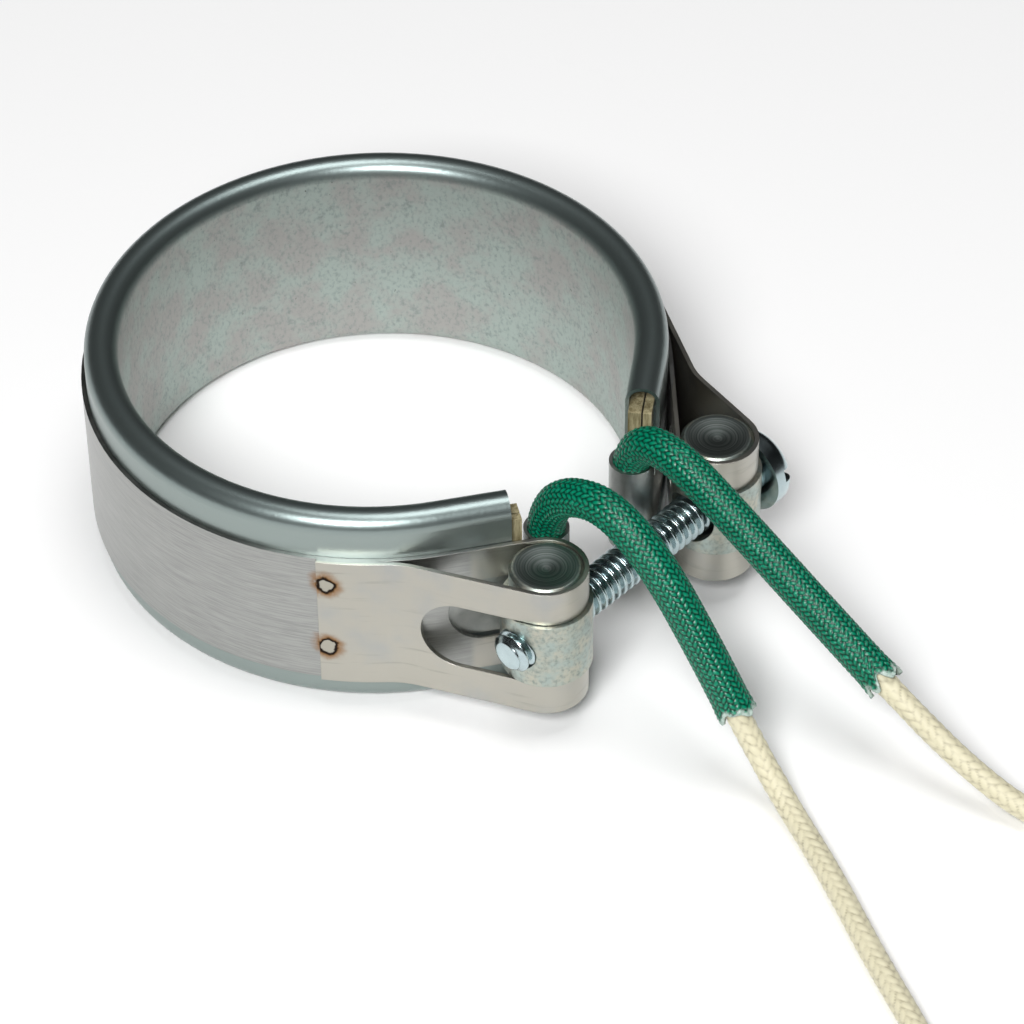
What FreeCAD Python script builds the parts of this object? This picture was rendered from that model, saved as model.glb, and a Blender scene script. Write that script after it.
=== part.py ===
"""Mica band heater with a barrel clamp and two sleeved leads, in millimetres.

The origin is in the middle of the bore. +Z runs up its axis, the gap in the band
faces +X, and the clamp screw lies along Y. "near" is the -Y side, where the
screw is threaded, and "far" is the +Y side, where it has its head.
"""
import FreeCAD
import Part
import Sketcher
import math
import os
from FreeCAD import Placement, Rotation, Vector

UP = Vector(0, 0, 1)

# ---------------------------------------------------------------- driving sizes

DIMENSIONS = {
    # the band: a layered ring round the bore, run on straight beside its gap
    "bore_radius": 28.575,
    "band_height": 26.2,
    "sheath_wall": 0.4,
    "inner_mica_wall": 0.65,
    "core_wall": 0.8,
    "ribbon_wall": 0.2,
    "outer_mica_wall": 0.95,
    "cover_wall": 0.4,
    "lip_height": 6.0,
    "cover_tuck": 2.4,
    "mica_inset": 1.0,
    "ribbon_inset": 3.0,
    "straight_from": 34.5,
    "near_sheath_run": 7.9,
    "far_sheath_run": 6.9,
    "near_cover_run": 6.9,
    "far_cover_run": 5.4,
    "near_mica_run": 9.2,
    "far_mica_run": 7.7,
    # the heating ribbon
    "ribbon_sweep": 264.0,
    "ribbon_pitch": 9.0,
    "ribbon_slits": 15,
    "ribbon_slot": 2.2,
    "terminal_height": 6.0,
    "terminal_run": 6.0,
    # the clamp strap
    "strap_play": 0.025,
    "strap_wall": 0.5,
    "strap_low": -9.35,
    "strap_width": 17.4,
    "loop_radius": 4.05,
    "window_height": 8.8,
    "inner_window_reach": 9.8,
    "outer_window_stop": 0.4,
    "near_fold_from": 46.7,
    "near_fold_to": 57.5,
    "near_fold_run": 1.0,
    "near_fold_bend": 10.0,
    "far_fold_from": 58.5,
    "far_fold_to": 61.5,
    "far_fold_run": 11.0,
    "far_fold_bend": 7.0,
    # the barrels and the screw
    "barrel_across": 36.5,
    "near_barrel_along": 12.3,
    "far_barrel_along": 15.5,
    "journal_radius": 4.0,
    "middle_radius": 5.0,
    "middle_height": 8.6,
    "barrel_chamfer": 0.35,
    "barrel_rim": 0.5,
    "barrel_dish": 0.4,
    "nut_hole_radius": 2.45,
    "clear_hole_radius": 3.1,
    "screw_radius": 2.415,
    "screw_length": 38.5,
    "screw_point": 0.5,
    "head_radius": 4.75,
    "head_height": 2.8,
    "head_round": 1.3,
    "head_seat": 0.15,
    "drive_turn": 75.0,
    "drive_width": 1.5,
    "drive_depth": 1.5,
    # the folded clips that the leads come out of
    "clip_wall": 0.4,
    "knuckle_radius": 2.5,
    "knuckle_low": -5.5,
    "knuckle_high": 5.9,
    "knuckle_sweep": 335.0,
    "tail_low": -4.6,
    "tail_high": 3.9,
    "tail_sweep": 9.5,
    "near_clip_bend": 7.3,
    "far_clip_bend": 5.9,
    # the leads, their sleeves and their put-away ends
    "lead_radius": 1.35,
    "sleeve_radius": 2.1,
    "near_sleeve_length": 49.0,
    "far_sleeve_length": 51.5,
    "coil_radius": 15.0,
    "coil_width": 5.6,
    "coil_height": 2.8,
    "tip_radius": 0.7,
    "tip_length": 7.0,
}

doc = FreeCAD.newDocument("band_heater")
dims = doc.addObject("Spreadsheet::Sheet", "dims")
for row, (alias, number) in enumerate(DIMENSIONS.items(), start=1):
    dims.set(f"A{row}", alias)
    dims.set(f"B{row}", str(number))
    dims.setAlias(f"B{row}", alias)
doc.recompute()


class Size:
    """A size that knows its number and the spreadsheet expression it comes from."""

    def __init__(self, number, text):
        self.number = number
        self.text = text

    def joined(self, sign, other, number):
        return Size(number, f"({self.text} {sign} {as_size(other).text})")

    def __add__(self, other):
        return self.joined("+", other, self.number + as_size(other).number)

    def __sub__(self, other):
        return self.joined("-", other, self.number - as_size(other).number)

    def __mul__(self, other):
        return self.joined("*", other, self.number * as_size(other).number)

    def __truediv__(self, other):
        return self.joined("/", other, self.number / as_size(other).number)


def as_size(value):
    return value if isinstance(value, Size) else Size(value, str(value))


def cell(alias):
    """The spreadsheet value of that alias, as a Size."""
    return Size(dims.get(alias), "dims." + alias)


bore_radius = cell("bore_radius")
band_height = cell("band_height")
sheath_wall = cell("sheath_wall")
mica_inner = bore_radius + sheath_wall
core_inner = mica_inner + cell("inner_mica_wall")
ribbon_inner = core_inner + cell("core_wall")
outer_mica_inner = ribbon_inner + cell("ribbon_wall")
cover_inner = outer_mica_inner + cell("outer_mica_wall")
lip_inner = cover_inner + cell("cover_wall")
sheath_outer = lip_inner + sheath_wall
ORIGIN = Size(0.0, "0")


# ------------------------------------------------------------- sketch and body

def plane_of(body, role):
    """The body's own origin plane or axis with that role."""
    for feature in body.Origin.OriginFeatures:
        if feature.Role == role:
            return feature
    raise ValueError(role)


def pin_point(sketch, geometry, point, across, up):
    """Hold a sketch point at a place given as two Sizes, by named dimensions."""
    for kind, axis, size in (("DistanceX", -2, across), ("DistanceY", -1, up)):
        if size.number == 0:
            sketch.addConstraint(Sketcher.Constraint("PointOnObject", geometry, point, axis))
            continue
        datum = Sketcher.Constraint(kind, -1, 1, geometry, point, size.number)
        index = sketch.addConstraint(datum)
        sketch.setExpression(f"Constraints[{index}]", size.text)


def new_sketch(body, name, role="XZ_Plane"):
    sketch = body.newObject("Sketcher::SketchObject", name)
    sketch.AttachmentSupport = [(plane_of(body, role), "")]
    sketch.MapMode = "FlatFace"
    return sketch


def draw_outline(sketch, corners):
    """A closed outline. Each corner is (edge, across, up), where edge is how the
    outline goes on from it: "line", or "over" and "under" for a half circle that
    bulges up or down to the next corner at the same height."""
    edges = []
    for index, (edge, across, up) in enumerate(corners):
        _, next_across, next_up = corners[(index + 1) % len(corners)]
        start = Vector(across.number, up.number, 0)
        end = Vector(next_across.number, next_up.number, 0)
        if edge == "line":
            edges.append((sketch.addGeometry(Part.LineSegment(start, end), False), 1, 2))
            continue
        circle = Part.Circle((start + end) / 2, UP, (end - start).Length / 2)
        sweep = (0, math.pi) if edge == "over" else (math.pi, 2 * math.pi)
        geometry = sketch.addGeometry(Part.ArcOfCircle(circle, *sweep), False)
        starts_first = (edge == "over") == (start.x > end.x)
        edges.append((geometry, 1, 2) if starts_first else (geometry, 2, 1))
    for index, (geometry, first, _) in enumerate(edges):
        before, _, before_last = edges[index - 1]
        sketch.addConstraint(
            Sketcher.Constraint("Coincident", before, before_last, geometry, first))
        edge, across, up = corners[index]
        pin_point(sketch, geometry, first, across, up)
        if edge != "line":
            datum = Sketcher.Constraint("DistanceY", -1, 1, geometry, 3, up.number)
            sketch.setExpression(f"Constraints[{sketch.addConstraint(datum)}]", up.text)


def box_outline(inner, outer, low, high):
    """The corners of a plain wall's section."""
    return [
        ("line", inner, low),
        ("line", outer, low),
        ("line", outer, high),
        ("line", inner, high),
    ]


def revolved_body(label, corners, sweep=None):
    """A body turned about its own Z axis, all round or over a sweep about +X."""
    body = doc.addObject("PartDesign::Body", label)
    section = new_sketch(body, label + "_section")
    draw_outline(section, corners)
    turned = body.newObject("PartDesign::Revolution", label + "_turn")
    turned.Profile = section
    turned.ReferenceAxis = (section, ["V_Axis"])
    if sweep is None:
        turned.Angle = 360
    else:
        turned.Midplane = True
        turned.setExpression("Angle", sweep.text)
    doc.recompute()
    return body, turned


def end_face(shape, side):
    """The name of the flat end of a bent bar that lies on the +Y or -Y side."""
    for index, face in enumerate(shape.Faces, start=1):
        normal = face.normalAt(0, 0)
        flat = isinstance(face.Surface, Part.Plane) and abs(normal.z) < 0.5
        if flat and face.CenterOfMass.y * side > 0:
            return f"Face{index}"
    raise ValueError("no end face")


def stand_in_band(body):
    """Turn a body drawn about +X round to the back, and centre it on the origin."""
    body.Placement = Placement(Vector(), Rotation(UP, 180))
    body.setExpression("Placement.Base.z", (band_height * -0.5).text)


def band_body(label, corners, near_run, far_run):
    """A layer of the band: its section turned round the bore, with both ends
    padded on straight. It is drawn about +X and turned to put the gap there."""
    sweep = (cell("straight_from") * -2) + 360
    body, turned = revolved_body(label, corners, sweep)
    for side, name, run in ((1, "near", near_run), (-1, "far", far_run)):
        pad = body.newObject("PartDesign::Pad", f"{label}_{name}_run")
        pad.Profile = (turned, [end_face(turned.Shape, side)])
        pad.setExpression("Length", run.text)
        doc.recompute()
    stand_in_band(body)
    return body


# ------------------------------------------------------------------ the band

def make_sheath():
    """The thin sheath: inner wall, half round rims and the lips that turn over."""
    rim = (sheath_outer - bore_radius) / 2
    low = rim
    high = band_height - rim
    lip_low = cell("lip_height")
    lip_high = band_height - lip_low
    corners = [
        ("line", bore_radius, low),
        ("over", bore_radius, high),
        ("line", sheath_outer, high),
        ("line", sheath_outer, lip_high),
        ("line", lip_inner, lip_high),
        ("over", lip_inner, high),
        ("line", mica_inner, high),
        ("under", mica_inner, low),
        ("line", lip_inner, low),
        ("line", lip_inner, lip_low),
        ("line", sheath_outer, lip_low),
        ("under", sheath_outer, low),
    ]
    return band_body("heater_sheath", corners, cell("near_sheath_run"), cell("far_sheath_run"))


def make_layers():
    """The cover strip and the three mica sheets, from the outside in."""
    rim = (sheath_outer - bore_radius) / 2
    near_mica, far_mica = cell("near_mica_run"), cell("far_mica_run")
    cover_low = cell("lip_height") - cell("cover_tuck")
    mica_low = rim + cell("mica_inset")
    layers = [
        ("outer_cover", cover_inner, lip_inner, cover_low,
         cell("near_cover_run"), cell("far_cover_run")),
        ("outer_mica", outer_mica_inner, cover_inner, mica_low, near_mica, far_mica),
        ("mica_core", core_inner, ribbon_inner, mica_low, near_mica, far_mica),
        ("inner_mica", mica_inner, core_inner, mica_low, near_mica, far_mica),
    ]
    for label, inner, outer, low, near_run, far_run in layers:
        corners = box_outline(inner, outer, low, band_height - low)
        yield band_body(label, corners, near_run, far_run)


def make_ribbon():
    """The ribbon: one foil band slit from alternate edges, so that it runs to and
    fro across the core from one terminal to the other."""
    low = cell("ribbon_inset")
    high = band_height - low
    body, turned = revolved_body(
        "resistance_ribbon", box_outline(ribbon_inner, outer_mica_inner, low, high),
        cell("ribbon_sweep"))
    link = cell("ribbon_slot")
    half = link / 2
    for edge, shift, slits in (
            ("low", link * -1, dims.ribbon_slits), ("high", link, dims.ribbon_slits - 1)):
        bottom = low + shift
        top = high + shift
        corners = [(half * -1, bottom), (half, bottom), (half, top), (half * -1, top)]
        half_turn = dims.ribbon_pitch * (slits - 1)
        slit = new_sketch(body, f"ribbon_{edge}_slit", "YZ_Plane")
        slit.AttachmentOffset = Placement(Vector(), Rotation(Vector(0, 1, 0), -half_turn))
        draw_outline(slit, [("line", across, up) for across, up in corners])
        cut = body.newObject("PartDesign::Pocket", f"ribbon_{edge}_cut")
        cut.Profile = slit
        cut.Reversed = True
        cut.setExpression("Length", (sheath_outer + 1).text)
        doc.recompute()
        row = body.newObject("PartDesign::PolarPattern", f"ribbon_{edge}_cuts")
        row.Originals = [cut]
        row.Axis = (plane_of(body, "Z_Axis"), [""])
        row.Angle = 2 * half_turn
        row.Occurrences = int(slits)
        body.Tip = row
        doc.recompute()
    stand_in_band(body)
    return body


# ------------------------------------------------------- the clamp strap's forms
# Bent sheet is worked out on the +Y side and mirrored where it is wanted at -Y.

def heading(angle):
    """A unit vector in plan, at that many degrees from +X towards +Y."""
    return Vector(math.cos(math.radians(angle)), math.sin(math.radians(angle)), 0)


def angle_of(vector):
    return math.degrees(math.atan2(vector.y, vector.x))


def raised(point, height):
    return Vector(point.x, point.y, height)


def sector(centre, inner, outer, start, sweep, low, height):
    """Sheet bent to a circle: a ring sector from start, counter-clockwise."""
    base = raised(centre, low)
    bent = Part.makeCylinder(outer, height, base, UP, sweep)
    if inner > 0:
        bent = bent.cut(Part.makeCylinder(inner, height, base))
    bent.rotate(base, UP, start)
    return bent


def flat(start, angle, length, wall, low, height):
    """Straight sheet from a point along a heading, with its wall to the left."""
    sheet = Part.makeBox(length, wall, height)
    sheet.Placement = Placement(raised(start, low), Rotation(UP, angle))
    return sheet


def window(start, angle, length, wall, middle, height):
    """The cutter for a window with one round end, along a straight sheet."""
    radius = height / 2
    straight = Part.makeBox(length - radius, 3 * wall, height)
    straight.translate(Vector(0, -wall, -radius))
    round_end = Part.makeCylinder(
        radius, 3 * wall, Vector(length - radius, -wall, 0), Vector(0, 1, 0))
    cutter = straight.fuse(round_end)
    cutter.Placement = Placement(raised(start, middle), Rotation(UP, angle))
    return cutter


strap_inner = sheath_outer.number + dims.strap_play
strap_outer = strap_inner + dims.strap_wall
strap_middle = dims.strap_low + dims.strap_width / 2


def strap_end(barrel_along, fold_from, fold_to, fold_run, bend_radius):
    """One end of the strap on the +Y side: the inner leaf runs off the ring to
    the barrel, the loop goes round it, and the outer leaf comes back, bends,
    stands straight off the ring for the fold's run and is welded down on it.
    Both leaves are tangent to what they join. Also gives the angle where the
    inner leaf leaves the ring."""
    wall = dims.strap_wall
    low, width = dims.strap_low, dims.strap_width
    loop_inner = dims.loop_radius
    loop_outer = loop_inner + wall
    barrel = Vector(dims.barrel_across, barrel_along, 0)
    middles = strap_inner + loop_inner + wall
    leave = angle_of(barrel) + math.degrees(math.acos(middles / barrel.Length))
    inner_length = math.sqrt(barrel.Length ** 2 - middles ** 2)
    inner_start = heading(leave) * strap_inner
    inner_leaf = flat(inner_start, leave - 90, inner_length, wall, low, width)
    loop_side = barrel - heading(leave) * loop_outer
    reach = min(dims.inner_window_reach, inner_length)
    inner_leaf = inner_leaf.cut(window(
        loop_side + heading(leave) * wall, leave + 90, reach, wall, strap_middle,
        dims.window_height))

    bend = heading(fold_from) * (strap_outer + wall + bend_radius)
    bend += heading(fold_from - 90) * fold_run
    between = bend - barrel
    lean = math.degrees(math.acos((loop_outer + bend_radius) / between.Length))
    facing = angle_of(between) - lean
    outer_length = math.sqrt(between.Length ** 2 - (loop_outer + bend_radius) ** 2)
    outer_start = barrel + heading(facing) * loop_outer
    outer_leaf = flat(outer_start, facing + 90, outer_length, wall, low, width)
    outer_leaf = outer_leaf.cut(window(
        outer_start, facing + 90, outer_length - dims.outer_window_stop, wall,
        strap_middle, dims.window_height))

    loop = sector(barrel, loop_inner, loop_outer, leave - 180, facing - leave + 180, low, width)
    opening = Part.makeBox(4 * loop_outer, 4 * loop_outer, dims.window_height)
    opening.translate(raised(barrel, strap_middle) - Vector(1, 1, 0) * 2 * loop_outer
                      - UP * dims.window_height / 2)
    loop = loop.cut(opening)
    curl = sector(bend, bend_radius, bend_radius + wall, fold_from + 180,
                  facing - fold_from, low, width)
    stand = flat(heading(fold_from) * strap_outer, fold_from - 90, fold_run, wall, low, width)
    fold = sector(Vector(), strap_outer, strap_outer + wall, fold_from,
                  fold_to - fold_from, low, width)
    return [inner_leaf, outer_leaf, loop, curl, stand, fold], leave


def mirrored(shape):
    return shape.mirror(Vector(0, 0, 0), Vector(0, 1, 0))


def feature(label, shape):
    """A document object that holds a shape made with Part's functions."""
    holder = doc.addObject("Part::Feature", label)
    holder.Shape = shape
    return holder


def make_strap():
    near, near_leave = strap_end(
        dims.near_barrel_along, dims.near_fold_from, dims.near_fold_to,
        dims.near_fold_run, dims.near_fold_bend)
    far, far_leave = strap_end(
        dims.far_barrel_along, dims.far_fold_from, dims.far_fold_to,
        dims.far_fold_run, dims.far_fold_bend)
    ring = sector(Vector(), strap_inner, strap_outer, far_leave,
                  360 - far_leave - near_leave, dims.strap_low, dims.strap_width)
    pieces = far + [mirrored(piece) for piece in near]
    return feature("clamp_strap", ring.multiFuse(pieces).removeSplitter())


# ---------------------------------------------------------------- the lead exits

def clip_shape(knuckle, bend_at):
    """A folded clip on the +Y side: a tail that lies on the band between the
    sheath's lips, and a knuckle rolled round the sleeve."""
    wall = dims.clip_wall
    outer = sheath_outer.number
    turn_from = dims.straight_from
    low, height = dims.tail_low, dims.tail_high - dims.tail_low
    start = heading(turn_from) * (outer - wall)
    corner = start + heading(turn_from - 90) * bend_at
    inside = dims.knuckle_radius - wall
    across = knuckle - corner
    course = angle_of(across) + math.degrees(math.asin(inside / across.Length))
    run = math.sqrt(across.Length ** 2 - inside ** 2)
    facing = course + 90
    parts = [
        sector(Vector(), outer - wall, outer, turn_from, dims.tail_sweep, low, height),
        flat(start, turn_from - 90, bend_at, wall, low, height),
        sector(corner, 0, wall, facing, turn_from - facing, low, height),
        flat(corner, course, run, wall, low, height),
        sector(knuckle, inside, dims.knuckle_radius, facing - dims.knuckle_sweep,
               dims.knuckle_sweep, dims.knuckle_low, dims.knuckle_high - dims.knuckle_low),
    ]
    return parts[0].multiFuse(parts[1:]).removeSplitter()


def make_clips():
    near = clip_shape(near_knuckle, dims.near_clip_bend)
    far = clip_shape(far_knuckle, dims.far_clip_bend)
    return [feature("near_lead_exit", mirrored(near)), feature("far_lead_exit", far)]


def make_terminals():
    """The strips that end the ribbon and run out between the mica sheets."""
    inner, outer = ribbon_inner.number, outer_mica_inner.number
    height = dims.terminal_height
    low = -height / 2
    turn_from = dims.straight_from
    ribbon_end = 180 - dims.ribbon_sweep / 2
    bent = sector(Vector(), inner, outer, turn_from, ribbon_end - turn_from, low, height)
    straight = flat(heading(turn_from) * inner, turn_from - 90, dims.terminal_run,
                    outer - inner, low, height)
    strip = bent.fuse(straight).removeSplitter()
    return [feature("near_terminal", mirrored(strip)), feature("far_terminal", strip)]


# --------------------------------------------------------- the barrels and screw

def make_barrel(label, along, hole_radius):
    """A barrel turned from bar: two journals that fit the strap's loop, a thicker
    middle that stands in its window, dished ends and a hole across."""
    length = cell("strap_width")
    journal, middle = cell("journal_radius"), cell("middle_radius")
    chamfer, rim, dish = cell("barrel_chamfer"), cell("barrel_rim"), cell("barrel_dish")
    step = (length - cell("middle_height")) / 2
    face = journal - chamfer
    half = [
        ("line", ORIGIN, dish),
        ("line", face - rim, ORIGIN),
        ("line", face, ORIGIN),
        ("line", journal, chamfer),
        ("line", journal, step),
        ("line", middle, step),
        ("line", middle, length - step),
        ("line", journal, length - step),
        ("line", journal, length - chamfer),
        ("line", face, length),
        ("line", face - rim, length),
        ("line", ORIGIN, length - dish),
    ]
    body, _ = revolved_body(label, half)
    ring = new_sketch(body, label + "_hole_ring")
    height = length / 2
    hole = Part.Circle(Vector(0, height.number, 0), UP, hole_radius.number)
    ring.addGeometry(hole, False)
    pin_point(ring, 0, 3, ORIGIN, height)
    datum = Sketcher.Constraint("Radius", 0, hole_radius.number)
    ring.setExpression(f"Constraints[{ring.addConstraint(datum)}]", hole_radius.text)
    cut = body.newObject("PartDesign::Pocket", label + "_hole")
    cut.Profile = ring
    cut.Type = "ThroughAll"
    cut.SideType = "Symmetric"
    body.setExpression("Placement.Base.x", cell("barrel_across").text)
    body.setExpression("Placement.Base.y", along.text)
    body.setExpression("Placement.Base.z", cell("strap_low").text)
    return body


def make_screw():
    """The slotted pan head screw, drawn standing on its point and laid along +Y."""
    length, height = cell("screw_length"), cell("head_height")
    radius, head = cell("screw_radius"), cell("head_radius")
    point = cell("screw_point")
    top = length + height
    half = [
        ("line", ORIGIN, ORIGIN),
        ("line", radius - point, ORIGIN),
        ("line", radius, point),
        ("line", radius, length),
        ("line", head, length),
        ("line", head, top),
        ("line", ORIGIN, top),
    ]
    body, turned = revolved_body("clamp_screw", half)
    crown = [
        f"Edge{index}" for index, edge in enumerate(turned.Shape.Edges, start=1)
        if isinstance(edge.Curve, Part.Circle) and abs(edge.Curve.Center.z - top.number) < 0.01]
    rounded = body.newObject("PartDesign::Fillet", "clamp_screw_crown")
    rounded.Base = (turned, crown)
    rounded.setExpression("Radius", cell("head_round").text)
    slot = new_sketch(body, "clamp_screw_slot_end")
    side = cell("drive_width") / 2
    bottom = top - cell("drive_depth")
    draw_outline(slot, box_outline(side * -1, side, bottom, top + 1))
    cut = body.newObject("PartDesign::Pocket", "clamp_screw_slot")
    cut.Profile = slot
    cut.Type = "ThroughAll"
    cut.SideType = "Symmetric"
    seat = dims.far_barrel_along + dims.middle_radius + dims.head_seat
    laid = Rotation(Vector(1, 0, 0), -90) * Rotation(UP, dims.drive_turn)
    place = Vector(dims.barrel_across, seat - dims.screw_length, strap_middle)
    body.Placement = Placement(place, laid)
    return body


# ------------------------------------------------------------- sleeves and leads

near_knuckle = Vector(30.8, 6.0, 0)
far_knuckle = Vector(30.5, 8.2, 0)

near_route = [
    (30.8, -6.0, -3.6), (30.7, -6.0, 2.1), (30.8, -6.0, 7.9), (33.3, -6.0, 12.7),
    (39.6, -6.0, 14.8), (46.4, -6.0, 10.4), (53.4, -6.0, 2.1), (60.2, -6.1, -6.9),
    (65.8, -6.9, -11.7), (76.0, -11.8, -11.7), (86.0, -17.4, -11.7), (95.6, -22.2, -11.7),
    (103.3, -26.6, -11.7), (111.3, -30.4, -11.7),
]
far_route = [
    (30.5, 8.2, -3.6), (30.4, 8.2, 1.7), (30.5, 8.2, 7.1), (33.2, 8.2, 10.1),
    (38.5, 8.0, 9.9), (47.5, 7.7, 5.9), (57.5, 7.4, 1.3), (67.8, 7.2, -3.5),
    (78.0, 7.4, -8.2), (86.6, 8.9, -11.7), (93.6, 11.9, -11.7), (100.3, 15.2, -11.7),
]
near_coil_centre = Vector(104.3, -43.7, -13.1)
far_coil_centre = Vector(94.4, 29.0, -13.1)


def route_edges(label, points):
    """Straight runs joined by tangent arcs, each as large as its runs allow."""
    points = [Vector(*point) for point in points]
    edges = []
    start = points[0]
    radii = []
    for before, corner, after in zip(points, points[1:], points[2:]):
        back = (before - corner).normalize()
        ahead = (after - corner).normalize()
        half_turn = (math.pi - back.getAngle(ahead)) / 2
        shorter = min((before - corner).Length, (after - corner).Length)
        setback = 0.45 * shorter
        radius = setback / math.tan(half_turn)
        radii.append(round(radius, 1))
        bulge = (back + ahead).normalize()
        middle = corner + bulge * radius * (1 / math.cos(half_turn) - 1)
        edges.append(Part.LineSegment(start, corner + back * setback).toShape())
        edges.append(Part.Arc(corner + back * setback, middle, corner + ahead * setback).toShape())
        start = corner + ahead * setback
    edges.append(Part.LineSegment(start, points[-1]).toShape())
    print(label, "arc radii", radii, "length", round(sum(edge.Length for edge in edges), 1))
    return edges


def first_part(edges, length):
    """The start of a route, cut off on a straight run at about that length."""
    kept = []
    for edge in edges:
        straight = isinstance(edge.Curve, Part.Line)
        if straight and length <= edge.Length:
            start, end = edge.Vertexes[0].Point, edge.Vertexes[-1].Point
            cut = start + (end - start) * (length / edge.Length)
            return kept + [Part.LineSegment(start, cut).toShape()]
        kept.append(edge)
        length = max(length - edge.Length, 0.5)
    return kept


def tube(edges, radius):
    """A round bar along a route."""
    first = edges[0]
    start = first.Vertexes[0].Point
    course = first.Vertexes[-1].Point - start
    ring = Part.Wire([Part.makeCircle(radius, start, course)])
    bar = Part.Wire(edges).makePipeShell([ring], True, False)
    ideal = math.pi * radius ** 2 * sum(edge.Length for edge in edges)
    if abs(bar.Volume / ideal - 1) > 0.01:
        raise ValueError(f"tube volume {bar.Volume:.1f}, not {ideal:.1f}")
    return bar


def make_lead(side, route, sleeve_length, coil_centre, tip_angle, tip_turn):
    """A lead with its sleeve, the closed ring that its coiled end fills, and the
    stripped tip, which turns off the coil into the room inside it."""
    edges = route_edges(f"{side}_lead", route)
    lead = tube(edges, dims.lead_radius)
    sleeved = first_part(edges, sleeve_length)
    sleeve = tube(sleeved, dims.sleeve_radius).cut(tube(sleeved, dims.lead_radius))
    inner = dims.coil_radius - dims.coil_width / 2
    coil = Part.makeCylinder(inner + dims.coil_width, dims.coil_height, coil_centre)
    coil = coil.cut(Part.makeCylinder(inner, dims.coil_height, coil_centre))
    tip_start = coil_centre + heading(tip_angle) * (inner + 0.5) + UP * dims.lead_radius
    tip = Part.makeCylinder(dims.tip_radius, dims.tip_length, tip_start, heading(tip_angle + tip_turn))
    shapes = {"lead": lead, "sleeve": sleeve, "lead_coil": coil, "lead_tip": tip}
    return [feature(f"{side}_{piece}", shape) for piece, shape in shapes.items()]


# ------------------------------------------------------------------ build it all

parts = [make_sheath(), *make_layers(), make_ribbon(), *make_terminals()]
parts += [make_strap(), *make_clips()]
parts.append(make_barrel("near_barrel_nut", cell("near_barrel_along") * -1, cell("nut_hole_radius")))
parts.append(make_barrel("far_barrel", cell("far_barrel_along"), cell("clear_hole_radius")))
parts.append(make_screw())
parts += make_lead("near", near_route, dims.near_sleeve_length, near_coil_centre, 264, -140)
parts += make_lead("far", far_route, dims.far_sleeve_length, far_coil_centre, 183, 140)
doc.recompute()

for item in doc.Objects:
    if "Invalid" in item.State or "Error" in item.State:
        raise RuntimeError(f"{item.Label}: {item.State}")
os.makedirs("parts", exist_ok=True)
for part in parts:
    shape = part.Shape
    if shape.isNull() or not shape.isValid() or not shape.Solids:
        raise RuntimeError(f"{part.Label} has no valid solid")
    shape.exportStep(f"parts/{part.Label}.step")
    print(part.Label, len(shape.Solids), "solid,", round(shape.Volume, 1), "mm3")
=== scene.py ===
"""Looks of the mica band heater: camera, leads and sleeves, steel, mica, barrels, screw and light.

Lengths in the sections are in millimetres, turned to metres by MM where a mesh or a lamp is made.
"""
import math
import bmesh
import bpy
import numpy as np
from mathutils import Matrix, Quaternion, Vector


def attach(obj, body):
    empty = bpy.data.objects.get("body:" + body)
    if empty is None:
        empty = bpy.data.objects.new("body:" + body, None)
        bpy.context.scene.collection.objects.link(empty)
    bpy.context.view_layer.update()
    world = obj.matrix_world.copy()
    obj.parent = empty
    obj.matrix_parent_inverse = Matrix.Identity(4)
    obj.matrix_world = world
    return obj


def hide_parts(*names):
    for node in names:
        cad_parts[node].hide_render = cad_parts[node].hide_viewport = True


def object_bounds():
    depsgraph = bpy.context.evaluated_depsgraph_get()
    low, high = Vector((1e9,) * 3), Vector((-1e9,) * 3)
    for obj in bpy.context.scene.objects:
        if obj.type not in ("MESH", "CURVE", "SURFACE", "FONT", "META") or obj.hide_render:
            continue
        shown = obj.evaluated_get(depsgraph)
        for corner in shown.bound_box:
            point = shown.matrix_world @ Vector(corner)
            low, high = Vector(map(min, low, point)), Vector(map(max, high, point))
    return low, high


MM = 0.001
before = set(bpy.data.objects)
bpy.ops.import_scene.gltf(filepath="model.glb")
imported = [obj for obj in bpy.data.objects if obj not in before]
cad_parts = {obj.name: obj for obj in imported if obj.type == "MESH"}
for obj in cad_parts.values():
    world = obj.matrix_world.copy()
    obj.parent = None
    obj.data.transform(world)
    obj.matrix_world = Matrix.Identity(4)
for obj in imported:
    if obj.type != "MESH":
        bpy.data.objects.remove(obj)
cad_low, cad_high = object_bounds()


# ------------------------------------------------------------------ camera
# The viewer stands over the near side of the gap and looks down at the ring.
# A long lens keeps the far rim nearly as large as the near one.

EYE = Vector((253.16, -250.52, 311.04)) * MM
AIM = Vector((12.38, 8.43, -13.10)) * MM
ROLL_DEG = -0.63
LENS_MM = 147.5

camera = bpy.data.objects.new("camera", bpy.data.cameras.new("camera"))
camera.data.lens = LENS_MM
camera.data.sensor_width = 36
camera.location = EYE
gaze = (AIM - EYE).to_track_quat("-Z", "Y")
camera.rotation_mode = "QUATERNION"
camera.rotation_quaternion = gaze @ Quaternion((0, 0, 1), math.radians(ROLL_DEG))
bpy.context.collection.objects.link(camera)
bpy.context.scene.camera = camera


# ------------------------------------------------------------------ leads
# Two leads of braided glass over stranded nickel wire. Each comes up out of its
# folded clip, bends over and runs out along the bench, and the end that is put
# away lies in a neat round coil.

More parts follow.
